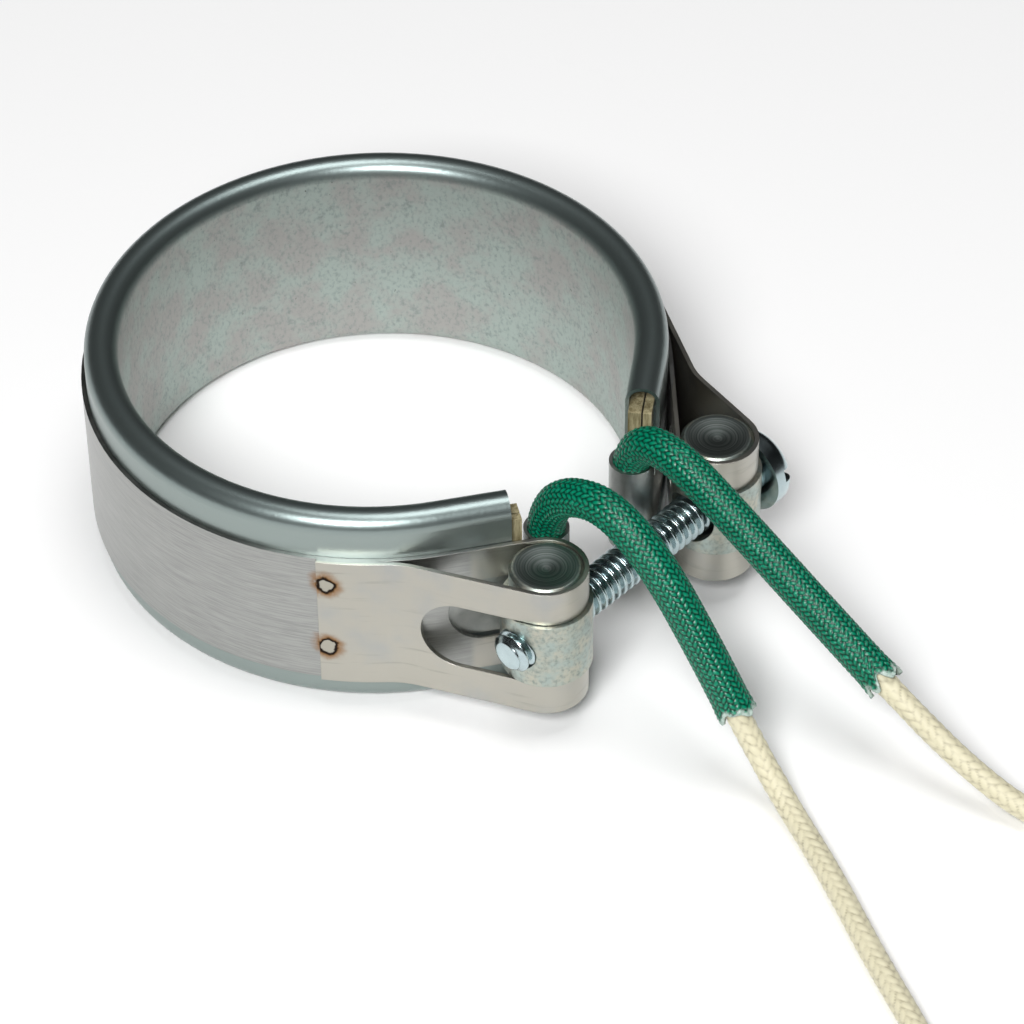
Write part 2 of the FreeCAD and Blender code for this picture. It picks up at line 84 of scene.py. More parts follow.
NEAR_ROUTE = [
    (30.8, -6.0, -3.6), (30.7, -6.0, 2.1), (30.8, -6.0, 7.9), (33.4, -6.0, 12.2),
    (39.5, -6.0, 14.3), (46.4, -6.0, 10.4), (53.4, -6.0, 2.1), (60.2, -6.1, -6.9),
    (65.8, -6.9, -11.7), (76.0, -11.8, -11.7), (86.0, -17.4, -11.7),
    (95.6, -22.2, -11.7), (103.3, -26.6, -11.7), (111.3, -30.4, -11.7),
]
FAR_ROUTE = [
    (30.5, 8.2, -3.6), (30.4, 8.2, 1.7), (30.5, 8.2, 7.1), (33.2, 8.2, 10.1),
    (38.5, 8.0, 9.9), (47.5, 7.7, 5.9), (57.5, 7.4, 1.3), (67.8, 7.2, -3.5),
    (78.0, 7.4, -8.2), (86.6, 8.9, -11.7), (93.6, 11.9, -11.7), (100.3, 15.2, -11.7),
]
LEAD_RADIUS = 1.35
REST_HEIGHT = -11.75
COIL_RADIUS = 16.4
COIL_CLOSES = 2.85
COIL_POINTS = 14
TIP_RADIUS = 12.7
LEAD_CARRIERS = 8
LEAD_STEP = 1.25
LEAD_RELIEF = 0.16
LEAD_AROUND = 44
LEAD_SPACING = 0.24
LEAD_END_ROUND = 0.35
LEVEL_FROM = 46
LEVEL_OVER = 16
HEADING_REACH = 0.4
LEAD_CREAM = (0.70, 0.655, 0.47)
LEAD_SHADE = (0.36, 0.32, 0.21)


def coiled_end(centre, entry_deg, turns, sense):
    """Points of a flat spiral that closes in by one cord's width each turn, then the
    place where the stripped tip starts."""
    count = round(turns * COIL_POINTS)
    made = []
    for step in range(1, count):
        turned = turns * step / count
        angle = math.radians(entry_deg + sense * 360 * turned)
        radius = COIL_RADIUS - COIL_CLOSES * turned
        made.append((centre[0] + radius * math.cos(angle),
                     centre[1] + radius * math.sin(angle), REST_HEIGHT))
    angle = math.radians(entry_deg + sense * 360 * turns)
    made.append((centre[0] + TIP_RADIUS * math.cos(angle),
                 centre[1] + TIP_RADIUS * math.sin(angle), REST_HEIGHT))
    return made


def laid_line(points):
    """The smooth line that a cord of these points follows, in millimetres, and the
    distance along it of each point of that line."""
    course = bpy.data.curves.new("course", "CURVE")
    course.dimensions = "3D"
    course.resolution_u = 24
    spline = course.splines.new("NURBS")
    spline.points.add(len(points) - 1)
    for place, point in zip(spline.points, points):
        place.co = (*point, 1)
    spline.order_u = 3
    spline.use_endpoint_u = True
    holder = bpy.data.objects.new("course", course)
    mesh = bpy.data.meshes.new_from_object(holder)
    line = np.zeros(len(mesh.vertices) * 3)
    mesh.vertices.foreach_get("co", line)
    line = line.reshape(-1, 3)
    bpy.data.objects.remove(holder)
    bpy.data.curves.remove(course)
    bpy.data.meshes.remove(mesh)
    along = np.concatenate([[0], np.cumsum(np.linalg.norm(np.diff(line, axis=0), axis=1))])
    return line, along


def stretch_of(course, start, end, spacing):
    """Even stations on a course between two distances: their distance, place, heading,
    and two unit vectors across. The first of those is level on the bench, and turns
    smoothly to lie along Y where the cord stands upright."""
    line, along = course
    count = max(int((end - start) / spacing), 8)
    at = np.linspace(start, end, count + 1)
    place = np.stack([np.interp(at, along, line[:, k]) for k in range(3)], 1)
    ahead = np.stack([np.interp(at + HEADING_REACH, along, line[:, k]) for k in range(3)], 1)
    behind = np.stack([np.interp(at - HEADING_REACH, along, line[:, k]) for k in range(3)], 1)
    heading = ahead - behind
    heading /= np.linalg.norm(heading, axis=1)[:, None]
    level = np.clip((at - LEVEL_FROM) / LEVEL_OVER, 0, 1)[:, None]
    guide = (1 - level) * np.array([0, 1, 0]) + level * np.array([0.3, 0, 1])
    side = np.cross(heading, guide)
    side /= np.linalg.norm(side, axis=1)[:, None]
    lift = np.cross(side, heading)
    return at, place, heading, side, lift


def braid_relief(turn, along, carriers, step):
    """Height from 0 to 1 of a braid on a tube: two families of flat bundles wind round it
    in opposite senses, and each goes over two of the other family and under two. A
    bundle's crown is half an ellipse across and swells in the middle of its float."""
    right = carriers * turn + along / step
    left = carriers * turn - along / step
    row, column = np.floor(right), np.floor(left)
    over = (row + column) % 4 < 2
    across = np.where(over, right - row, left - column)
    float_at = np.where(over, (left + row) % 4, (right + column - 2) % 4) / 2
    crown = np.sqrt(np.clip(1 - 0.92 * (2 * across - 1) ** 2, 0, 1))
    return crown * (0.45 + 0.55 * np.sin(np.pi * np.clip(float_at, 0, 1)))


def skin(name, places, closed_round=True, fields=None):
    """A mesh from a grid of places (stations by points round, in millimetres). Its faces
    join neighbours, round and along, and fields are one number at each point."""
    rows, columns = places.shape[:2]
    mesh = bpy.data.meshes.new(name)
    index = np.arange(rows * columns).reshape(rows, columns)
    here, there = index[:-1], index[1:]
    if closed_round:
        quads = np.stack([here, np.roll(here, -1, 1), np.roll(there, -1, 1), there], -1)
    else:
        quads = np.stack([here[:, :-1], here[:, 1:], there[:, 1:], there[:, :-1]], -1)
    mesh.from_pydata((places.reshape(-1, 3) * MM).tolist(), [], quads.reshape(-1, 4).tolist())
    mesh.polygons.foreach_set("use_smooth", np.ones(len(mesh.polygons), bool))
    for title, values in (fields or {}).items():
        layer = mesh.attributes.new(title, "FLOAT", "POINT")
        layer.data.foreach_set("value", np.asarray(values, np.float32).ravel())
    piece = bpy.data.objects.new(name, mesh)
    bpy.context.collection.objects.link(piece)
    return piece


def add(tree, kind, sockets=None, **settings):
    """A shader node with its settings, and its sockets given a value or a link."""
    made = tree.nodes.new("ShaderNode" + kind)
    for key, value in settings.items():
        setattr(made, key, value)
    for key, value in (sockets or {}).items():
        if isinstance(value, bpy.types.NodeSocket):
            tree.links.new(value, made.inputs[key])
        else:
            made.inputs[key].default_value = value
    return made


def new_finish(name, **sockets):
    """A material with one Principled shader whose plain sockets are set here."""
    finish = bpy.data.materials.new(name)
    finish.use_nodes = True
    shader = finish.node_tree.nodes["Principled BSDF"]
    for key, value in sockets.items():
        shader.inputs[key.replace("_", " ")].default_value = value
    return finish, finish.node_tree, shader


def blend_of(tree, factor, low, high):
    """A colour between two, by a factor. Each is a colour or a socket."""
    mix = tree.nodes.new("ShaderNodeMix")
    mix.data_type = "RGBA"
    for socket, value in ((0, factor), (6, low), (7, high)):
        if isinstance(value, bpy.types.NodeSocket):
            tree.links.new(value, mix.inputs[socket])
        else:
            mix.inputs[socket].default_value = value if socket == 0 else (*value, 1)
    return mix.outputs[2]


def ramp_of(tree, value, start, end):
    """Zero below the start and one above the end of a value, smoothly between."""
    made = add(tree, "MapRange", {0: value, 1: start, 2: end}, interpolation_type="SMOOTHSTEP")
    return made.outputs[0]

def scaled(tree, factor, low, high):
    """A number that goes from low to high as a factor goes from zero to one."""
    return add(tree, "MapRange", {0: factor, 3: low, 4: high}).outputs[0]


def wavy(tree, scale, size, detail=3.0, rough=0.55, where=None):
    """Noise on the piece's own coordinates, in waves of about this size in millimetres,
    each axis drawn out by scale."""
    place = where or add(tree, "TexCoord").outputs["Object"]
    moved = add(tree, "Mapping", {0: place, 3: Vector(scale) * (1000 / size)})
    made = add(tree, "TexNoise", {"Vector": moved.outputs[0], "Scale": 1.0,
                                  "Detail": detail, "Roughness": rough})
    return made.outputs[0]


def braid_finish(name, bright, shade, sheen, roughness):
    """Braided yarn: its own colour on the crowns and painted shade in the hollows between the
    bundles, with a soft streaky gloss.
    """
    finish, tree, shader = new_finish(name, Roughness=roughness, Specular_IOR_Level=0.5,
                                      Sheen_Weight=sheen, Sheen_Roughness=0.4)
    crown = add(tree, "Attribute", attribute_name="crown").outputs["Fac"]
    uneven = wavy(tree, (1, 1, 1), 1.1)
    # Painted shade: the colour goes dark in the hollows between the bundles, where the crown is
    # low.
    colour = blend_of(tree, ramp_of(tree, crown, 0.1, 0.8), shade, bright)
    tree.links.new(blend_of(tree, ramp_of(tree, uneven, 0.35, 0.75), colour, bright),
                   shader.inputs["Base Color"])
    yarn = wavy(tree, (1, 1, 1), 0.22, 2.0)
    bump = add(tree, "Bump", {"Strength": 0.35, "Distance": 0.05 * MM, "Height": yarn})
    tree.links.new(bump.outputs[0], shader.inputs["Normal"])
    return finish


lead_glass = braid_finish("lead_braid", LEAD_CREAM, LEAD_SHADE, 0.2, 0.55)


def make_lead(side, route, centre, entry_deg, turns, sense):
    """A braided lead: a round tube on its course, raised by the braid's relief. The
    radius falls as a square root over the last bit at each end, which closes it."""
    course = laid_line(route + coiled_end(centre, entry_deg, turns, sense))
    end = course[1][-1]
    at, place, heading, across, lift = stretch_of(course, 0, end, LEAD_SPACING)
    turn = np.arange(LEAD_AROUND) / LEAD_AROUND
    relief = braid_relief(turn[None, :], at[:, None], LEAD_CARRIERS, LEAD_STEP)
    radius = LEAD_RADIUS - LEAD_RELIEF + LEAD_RELIEF * relief
    ends = np.clip(np.minimum(at, end - at) / LEAD_END_ROUND, 0.05, 1) ** 0.5
    radius *= ends[:, None]
    round_it = 2 * np.pi * turn[None, :, None]
    places = place[:, None] + radius[..., None] * (
        np.cos(round_it) * across[:, None] + np.sin(round_it) * lift[:, None])
    lead = skin(f"{side}_lead_braid", places, fields={"crown": relief})
    lead.data.materials.append(lead_glass)
    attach(lead, "band")
    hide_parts(f"{side}_lead", f"{side}_lead_coil")
    return lead, course


near_lead, near_course = make_lead("near", NEAR_ROUTE, (104.3, -43.7), 62.2, 1.44, -1)
far_lead, far_course = make_lead("far", FAR_ROUTE, (94.4, 29.0), -66.8, 1.69, 1)


# ------------------------------------------------------------------ lead tips
# The last few millimetres of each lead are stripped, and the fine nickel strands
# are twisted together and left bare.

bare_wire, wire_tree, wire_shader = new_finish("bare_wire", Metallic=1.0, Roughness=0.3)
TIP_TONE = (0.52, 0.50, 0.46)
TIP_BRIGHT = (0.75, 0.73, 0.68)
strand = wavy(wire_tree, (1, 1, 0.4), 0.35)
wire_tree.links.new(blend_of(wire_tree, strand, TIP_TONE, TIP_BRIGHT),
                    wire_shader.inputs["Base Color"])
wire_bump = add(wire_tree, "Bump", {"Strength": 0.8, "Distance": 0.1 * MM, "Height": strand})
wire_tree.links.new(wire_bump.outputs[0], wire_shader.inputs["Normal"])


def dress(node, finish):
    """A CAD node's own shape with a new finish on all its faces."""
    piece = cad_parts[node]
    for slot in piece.material_slots:
        slot.link = "DATA"
        slot.material = finish
    if not piece.material_slots:
        piece.data.materials.append(finish)


dress("near_lead_tip", bare_wire)
dress("far_lead_tip", bare_wire)


# ------------------------------------------------------------------ sleeves
# A dark green varnished glass sleeve over the first part of each lead. It is woven
# as a fine herringbone, wider than the lead, and cut off raw: its edge is ragged
# and pale where the varnish has broken.

NEAR_SLEEVE_LENGTH = 48.6
FAR_SLEEVE_LENGTH = 50.8
SLEEVE_RADIUS = 2.12
SLEEVE_WALL = 0.42
SLEEVE_CARRIERS = 22
SLEEVE_STEP = 0.68
SLEEVE_RELIEF = 0.2
SLEEVE_GREEN = (0.0, 0.215, 0.115)
SLEEVE_HOLLOW_SHADE = (0.0, 0.022, 0.013)
SLEEVE_PAINTED_GLINT = (0.02, 0.33, 0.20)
SLEEVE_PALE = (0.42, 0.52, 0.47)
SLEEVE_AROUND = 132
SLEEVE_SPACING = 0.1
FRAY_LENGTH = 1.5
RAGGED_LENGTH = 6
RAGGED_HEIGHT = 0.24
RAGGED_WAVES = 7
FLARE_LENGTH = 2
FLARE = 0.12
INSIDE_BACK = (0.0, 1.2, 4.0, 9.0)
INSIDE_RAGGED = (1.0, 1.0, 0.6, 0.0)
INSIDE_FRAYED = (0.9, 0.3, 0.0, 0.0)
INSIDE_CROWN = 0.3

sleeve_glass, sleeve_tree, sleeve_shader = new_finish(
    "sleeve_braid", Roughness=0.30, Specular_IOR_Level=0.35, Coat_Weight=0.08,
    Coat_Roughness=0.12)
sleeve_crown = add(sleeve_tree, "Attribute", attribute_name="crown").outputs["Fac"]
sleeve_fray = add(sleeve_tree, "Attribute", attribute_name="fray").outputs["Fac"]
# Painted shade: the weave's colour goes dark in the hollows between the bundles, where the crown
# is low.
weave_colour = blend_of(sleeve_tree, ramp_of(sleeve_tree, sleeve_crown, 0.3, 1.0),
                        SLEEVE_HOLLOW_SHADE, SLEEVE_GREEN)
# Painted glints: small patches of noise lighten the green as if they caught the light.
painted_glint = ramp_of(sleeve_tree, wavy(sleeve_tree, (1, 1, 1), 0.5), 0.55, 0.8)
weave_colour = blend_of(sleeve_tree, painted_glint, weave_colour, SLEEVE_PAINTED_GLINT)
pale_at = add(sleeve_tree, "Math", {0: sleeve_fray, 1: wavy(sleeve_tree, (1, 1, 1), 0.6)},
              operation="MULTIPLY")
sleeve_tree.links.new(
    blend_of(sleeve_tree, ramp_of(sleeve_tree, pale_at.outputs[0], 0.2, 0.5),
             weave_colour, SLEEVE_PALE), sleeve_shader.inputs["Base Color"])
sleeve_bump = add(sleeve_tree, "Bump", {"Strength": 0.5, "Distance": 0.05 * MM,
                                        "Height": wavy(sleeve_tree, (1, 1, 1), 0.2, 2.0)})
sleeve_tree.links.new(sleeve_bump.outputs[0], sleeve_shader.inputs["Normal"])


def make_sleeve(side, course, length, seed):
    """A thin-walled braided tube: out along the skin, over a ragged edge and a little way
    back inside. The edge's place is the cut's length plus slow waves round it."""
    rng = np.random.default_rng(seed)
    turn = np.arange(SLEEVE_AROUND) / SLEEVE_AROUND
    waves = rng.uniform(-1, 1, (2, RAGGED_WAVES))
    harmonic = np.arange(1, RAGGED_WAVES + 1)[:, None] * 2 * np.pi * turn
    ragged = RAGGED_HEIGHT * (waves[0] @ np.sin(harmonic) + waves[1] @ np.cos(harmonic))
    at, place, heading, across, lift = stretch_of(course, 0, length, SLEEVE_SPACING)
    near_end = np.clip((at - (length - RAGGED_LENGTH)) / RAGGED_LENGTH, 0, 1) ** 2
    along = at[:, None] + near_end[:, None] * ragged
    relief = braid_relief(turn[None, :], along, SLEEVE_CARRIERS, SLEEVE_STEP)
    opening = np.clip((at - (length - FLARE_LENGTH)) / FLARE_LENGTH, 0, 1)[:, None]
    flare = FLARE * opening * (1 + ragged)
    radius = SLEEVE_RADIUS - SLEEVE_RELIEF + SLEEVE_RELIEF * relief + flare
    fray = np.clip((at - (length - FRAY_LENGTH)) / FRAY_LENGTH, 0, 1)[:, None] + 0 * relief

    at_back = length - np.array(INSIDE_BACK)
    back_place = np.stack([np.interp(at_back, at, place[:, k]) for k in range(3)], 1)
    last = np.searchsorted(at, at_back).clip(0, len(at) - 1)
    all_place = np.concatenate([place, back_place])
    all_across = np.concatenate([across, across[last]])
    all_lift = np.concatenate([lift, lift[last]])
    all_heading = np.concatenate([heading, heading[last]])
    inside = np.stack([radius[-1] - SLEEVE_WALL] * len(INSIDE_BACK))
    all_radius = np.concatenate([radius, inside])
    shift = np.concatenate([near_end, INSIDE_RAGGED])[:, None] * ragged
    round_it = 2 * np.pi * turn[None, :, None]
    places = all_place[:, None] + shift[..., None] * all_heading[:, None]
    places = places + all_radius[..., None] * (
        np.cos(round_it) * all_across[:, None] + np.sin(round_it) * all_lift[:, None])
    crown = np.concatenate([relief, np.full(inside.shape, INSIDE_CROWN)])
    frayed = np.concatenate([fray, np.array(INSIDE_FRAYED)[:, None] + 0 * inside])
    sleeve = skin(f"{side}_sleeve_braid", places, fields={"crown": crown, "fray": frayed})
    sleeve.data.materials.append(sleeve_glass)
    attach(sleeve, "band")
    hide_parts(f"{side}_sleeve")
    return sleeve


near_sleeve = make_sleeve("near", near_course, NEAR_SLEEVE_LENGTH, seed=4)
far_sleeve = make_sleeve("far", far_course, FAR_SLEEVE_LENGTH, seed=9)


# ------------------------------------------------------------------ sheath
# The band's skin: aluminised steel strip rolled round the mica, with both edges
# curled over it. The bore side is dull and mottled from the mill, and the curled
# rims are burnished smoother by the rolls. The top rim and the outer face are
# painted darker as shade.

SHEATH_COOL = (0.41, 0.47, 0.44)
SHEATH_WARM = (0.41, 0.40, 0.385)
SHEATH_DULL = (0.27, 0.31, 0.295)
SHEATH_SPECK = (0.13, 0.14, 0.13)
SHEATH_RIM_SHADE = (0.24, 0.29, 0.285)
SHEATH_OUTSIDE_SHADE = (0.30, 0.35, 0.335)
CURL_FROM = 10.9
CURL_TO = 12.4
OUTSIDE_FROM = 30.4
OUTSIDE_TO = 31.4
DULL_ROUGHNESS = 0.56
WORKED_ROUGHNESS = 0.34

sheath_steel, sheath_tree, sheath_shader = new_finish("sheath_steel", Metallic=0.9)
mottle = wavy(sheath_tree, (1, 1, 1), 6.0, 5.0, 0.62)
grain = wavy(sheath_tree, (1, 1, 0.7), 0.45, 3.0, 0.6)
sheath_parts = add(sheath_tree, "SeparateXYZ",
                   {0: add(sheath_tree, "TexCoord").outputs["Object"]})
level = sheath_parts.outputs["Z"]
tone = blend_of(sheath_tree, ramp_of(sheath_tree, mottle, 0.38, 0.62), SHEATH_COOL, SHEATH_WARM)
tone = blend_of(sheath_tree, ramp_of(sheath_tree, grain, 0.42, 0.85), tone, SHEATH_DULL)
stain = ramp_of(sheath_tree, wavy(sheath_tree, (1, 1, 1), 2.6, 6.0, 0.7), 0.56, 0.74)
tone = blend_of(sheath_tree, stain, tone, SHEATH_DULL)
specks = ramp_of(sheath_tree, wavy(sheath_tree, (1, 1, 0.8), 0.55, 2.0), 0.71, 0.80)
tone = blend_of(sheath_tree, specks, tone, SHEATH_SPECK)
from_axis = add(sheath_tree, "VectorMath", {0: add(sheath_tree, "CombineXYZ", {
    0: sheath_parts.outputs[0], 1: sheath_parts.outputs[1]}).outputs[0]}, operation="LENGTH")
outside = ramp_of(sheath_tree, from_axis.outputs["Value"],
                  OUTSIDE_FROM * MM, OUTSIDE_TO * MM)
# Painted shade: the outer face, out past 30.4 mm from the axis, takes a darker colour.
tone = blend_of(sheath_tree, outside, tone, SHEATH_OUTSIDE_SHADE)
at_rim = ramp_of(sheath_tree, level, CURL_FROM * MM, CURL_TO * MM)
# Painted shade: the top rim, from 10.9 mm up, takes a darker colour.
sheath_tree.links.new(blend_of(sheath_tree, at_rim, tone, SHEATH_RIM_SHADE),
                      sheath_shader.inputs["Base Color"])
worked = add(sheath_tree, "Math", {0: at_rim, 1: outside}, operation="MAXIMUM")
polish = scaled(sheath_tree, worked.outputs[0], DULL_ROUGHNESS, WORKED_ROUGHNESS)
sheath_tree.links.new(polish, sheath_shader.inputs["Roughness"])
sheath_bump = add(sheath_tree, "Bump", {"Strength": 0.3, "Distance": 0.05 * MM,
                                        "Height": grain})
sheath_tree.links.new(sheath_bump.outputs[0], sheath_shader.inputs["Normal"])
dress("heater_sheath", sheath_steel)
dress("outer_cover", sheath_steel)


# ------------------------------------------------------------------ mica and ribbon
# Sheets of built-up mica hold the flat nickel-chrome ribbon between them. Their
# edges look out past the steel at the gap, laminated and stained with resin.

MICA_DARK = (0.16, 0.13, 0.06)
MICA_LIGHT = (0.42, 0.37, 0.22)
RIBBON_DARK = (0.33, 0.31, 0.28)
RIBBON_LIGHT = (0.50, 0.48, 0.44)

mica, mica_tree, mica_shader = new_finish("mica", Roughness=0.38, Specular_IOR_Level=0.6,
                                          Sheen_Weight=0.1)
leaves = wavy(mica_tree, (1, 1, 0.12), 0.5, 4.0, 0.7)
mica_colour = blend_of(mica_tree, ramp_of(mica_tree, leaves, 0.35, 0.65),
                       MICA_DARK, MICA_LIGHT)
mica_tree.links.new(mica_colour, mica_shader.inputs["Base Color"])
mica_bump = add(mica_tree, "Bump", {"Strength": 0.6, "Distance": 0.1 * MM, "Height": leaves})
mica_tree.links.new(mica_bump.outputs[0], mica_shader.inputs["Normal"])
for sheet in ("inner_mica", "mica_core", "outer_mica"):
    dress(sheet, mica)

ribbon_alloy, ribbon_tree, ribbon_shader = new_finish("ribbon_alloy", Metallic=1.0,
                                                      Roughness=0.3)
ribbon_tint = wavy(ribbon_tree, (1, 1, 6), 2.0)
ribbon_tree.links.new(blend_of(ribbon_tree, ribbon_tint, RIBBON_DARK, RIBBON_LIGHT),
                      ribbon_shader.inputs["Base Color"])
for strip in ("resistance_ribbon", "near_terminal", "far_terminal"):
    dress(strip, ribbon_alloy)


# ------------------------------------------------------------------ clamp strap
# One stainless strip goes round the band. Each end is folded back on itself round
# its barrel, slotted to let the screw through, and spot welded down. It is brushed
# lengthwise, and the welds have scorched it.

STRAP_TONE = (0.30, 0.305, 0.295)
STRAP_LIGHT = (0.41, 0.415, 0.40)
LEAF_TONE = (0.46, 0.445, 0.395)
LEAF_MARK = (0.33, 0.32, 0.285)
LEAF_FROM = 33.1
LEAF_EDGE = 0.05
WELD_ANGLE = -55.9
WELD_FACE = 33.4
WELD_HEIGHTS = (4.8, -4.2)
WELD_RADIUS = 0.92
WELD_RIM_INSIDE = (WELD_RADIUS - 0.02, WELD_RADIUS - 0.2)
WELD_RIM_OUTSIDE = (WELD_RADIUS + 0.42, WELD_RADIUS + 0.12)
SCORCH_RADIUS = 2.3
WELD_WANDER = 1.1
WANDER_SIZE = 1.3
WELD_PALE = (0.42, 0.40, 0.34)
WELD_BURNT = (0.018, 0.011, 0.008)
WELD_AMBER = (0.26, 0.12, 0.03)

strap_steel, strap_tree, strap_shader = new_finish("strap_steel", Metallic=1.0)
strap_place = add(strap_tree, "TexCoord").outputs["Object"]
strap_parts = add(strap_tree, "SeparateXYZ", {0: strap_place})
strap_flat = add(strap_tree, "CombineXYZ", {0: strap_parts.outputs[0], 1: strap_parts.outputs[1]})
strap_out = add(strap_tree, "VectorMath", {0: strap_flat.outputs[0]}, operation="LENGTH")
brushed = wavy(strap_tree, (0.035, 0.035, 1), 0.16, 3.0, 0.7)
long_marks = wavy(strap_tree, (0.08, 0.08, 1), 0.7, 4.0, 0.6)
cloud = wavy(strap_tree, (1, 1, 1), 5.0, 3.0, 0.5)
ring_tone = blend_of(strap_tree, ramp_of(strap_tree, brushed, 0.3, 0.7), STRAP_TONE, STRAP_LIGHT)
leaf_tone = blend_of(strap_tree, ramp_of(strap_tree, long_marks, 0.56, 0.8),
                     LEAF_TONE, LEAF_MARK)
leaf_tone = blend_of(strap_tree, ramp_of(strap_tree, cloud, 0.45, 0.8), leaf_tone, STRAP_LIGHT)
on_leaf = ramp_of(strap_tree, strap_out.outputs["Value"], (LEAF_FROM - LEAF_EDGE) * MM,
                  (LEAF_FROM + LEAF_EDGE) * MM)
strap_colour = blend_of(strap_tree, on_leaf, ring_tone, leaf_tone)

turned = add(strap_tree, "Math", {0: strap_parts.outputs[1], 1: strap_parts.outputs[0]},
             operation="ARCTAN2")
round_way = add(strap_tree, "Math", {0: turned.outputs[0], 1: WELD_FACE,
                                     2: -math.radians(WELD_ANGLE) * WELD_FACE},
                operation="MULTIPLY_ADD")
up_way = add(strap_tree, "Math", {0: strap_parts.outputs[2], 1: 1 / MM}, operation="MULTIPLY")
ragged = add(strap_tree, "TexNoise", {"Vector": strap_place, "Scale": 1000 / WANDER_SIZE,
                                   "Detail": 3.0})
wander = add(strap_tree, "VectorMath", {0: ragged.outputs["Color"], 1: (0.5, 0.5, 0.5)},
             operation="SUBTRACT")
wander = add(strap_tree, "VectorMath", {0: wander.outputs[0], "Scale": WELD_WANDER},
             operation="SCALE")
patchy = ramp_of(strap_tree, wavy(strap_tree, (1, 1, 1), 1.0, 2.0), 0.22, 0.48)
for weld_height in WELD_HEIGHTS:
    apart = add(strap_tree, "CombineXYZ", {
        0: round_way.outputs[0],
        1: add(strap_tree, "Math", {0: up_way.outputs[0], 1: weld_height},
               operation="SUBTRACT").outputs[0]})
    apart = add(strap_tree, "VectorMath", {0: apart.outputs[0], 1: wander.outputs[0]},
                operation="ADD")
    apart = add(strap_tree, "VectorMath", {0: apart.outputs[0], 1: (1, 1, 0)},
                operation="MULTIPLY")
    reach = add(strap_tree, "VectorMath", {0: apart.outputs[0]}, operation="LENGTH")
    reach = reach.outputs["Value"]
    halo = add(strap_tree, "Math", {0: ramp_of(strap_tree, reach, SCORCH_RADIUS, WELD_RADIUS),
                                    1: patchy}, operation="MULTIPLY").outputs[0]
    strap_colour = blend_of(strap_tree, halo, strap_colour, WELD_AMBER)
    ring_out = ramp_of(strap_tree, reach, *WELD_RIM_OUTSIDE)
    strap_colour = blend_of(strap_tree, ring_out, strap_colour, WELD_BURNT)
    ring_in = ramp_of(strap_tree, reach, *WELD_RIM_INSIDE)
    strap_colour = blend_of(strap_tree, ring_in, strap_colour, WELD_PALE)
strap_tree.links.new(strap_colour, strap_shader.inputs["Base Color"])
strap_tree.links.new(scaled(strap_tree, brushed, 0.26, 0.44), strap_shader.inputs["Roughness"])
strap_edge = add(strap_tree, "Bevel", {"Radius": 0.12 * MM}, samples=4)
calm = scaled(strap_tree, on_leaf, 0.16, 0.04)
strap_bump = add(strap_tree, "Bump", {"Strength": calm, "Distance": 0.03 * MM,
                                      "Height": brushed, "Normal": strap_edge.outputs[0]})
strap_tree.links.new(strap_bump.outputs[0], strap_shader.inputs["Normal"])
dress("clamp_strap", strap_steel)


# ------------------------------------------------------------------ lead clips
# Thin steel folded round each lead's joint and tucked under the band's cover.

CLIP_DARK = (0.27, 0.29, 0.28)
CLIP_LIGHT = (0.52, 0.53, 0.51)

clip_steel, clip_tree, clip_shader = new_finish("clip_steel", Metallic=1.0)
clip_marks = wavy(clip_tree, (1, 1, 1), 1.6, 5.0, 0.6)
clip_tree.links.new(blend_of(clip_tree, clip_marks, CLIP_DARK, CLIP_LIGHT),
                    clip_shader.inputs["Base Color"])
clip_tree.links.new(scaled(clip_tree, clip_marks, 0.25, 0.5), clip_shader.inputs["Roughness"])
dress("near_lead_exit", clip_steel)
dress("far_lead_exit", clip_steel)


# ------------------------------------------------------------------ barrels
# Turned from steel bar and zinc plated. The ends carry the rings of the tool over
# painted shade, a dark base colour, and the middles have the mottled bloom of the plating.

END_FACE_SHADE = (0.16, 0.19, 0.18)
FACE_RING = (0.36, 0.40, 0.385)
PLATING_COOL = (0.40, 0.47, 0.44)
PLATING_WARM = (0.50, 0.49, 0.41)
PLATING_DULL = (0.29, 0.33, 0.30)
DISH_FROM = 3.35
DISH_TO = 3.6
RINGS_PER_METRE = 3600.0
BARRELS = {"near_barrel_nut": (36.5, -12.3), "far_barrel": (36.5, 15.5)}


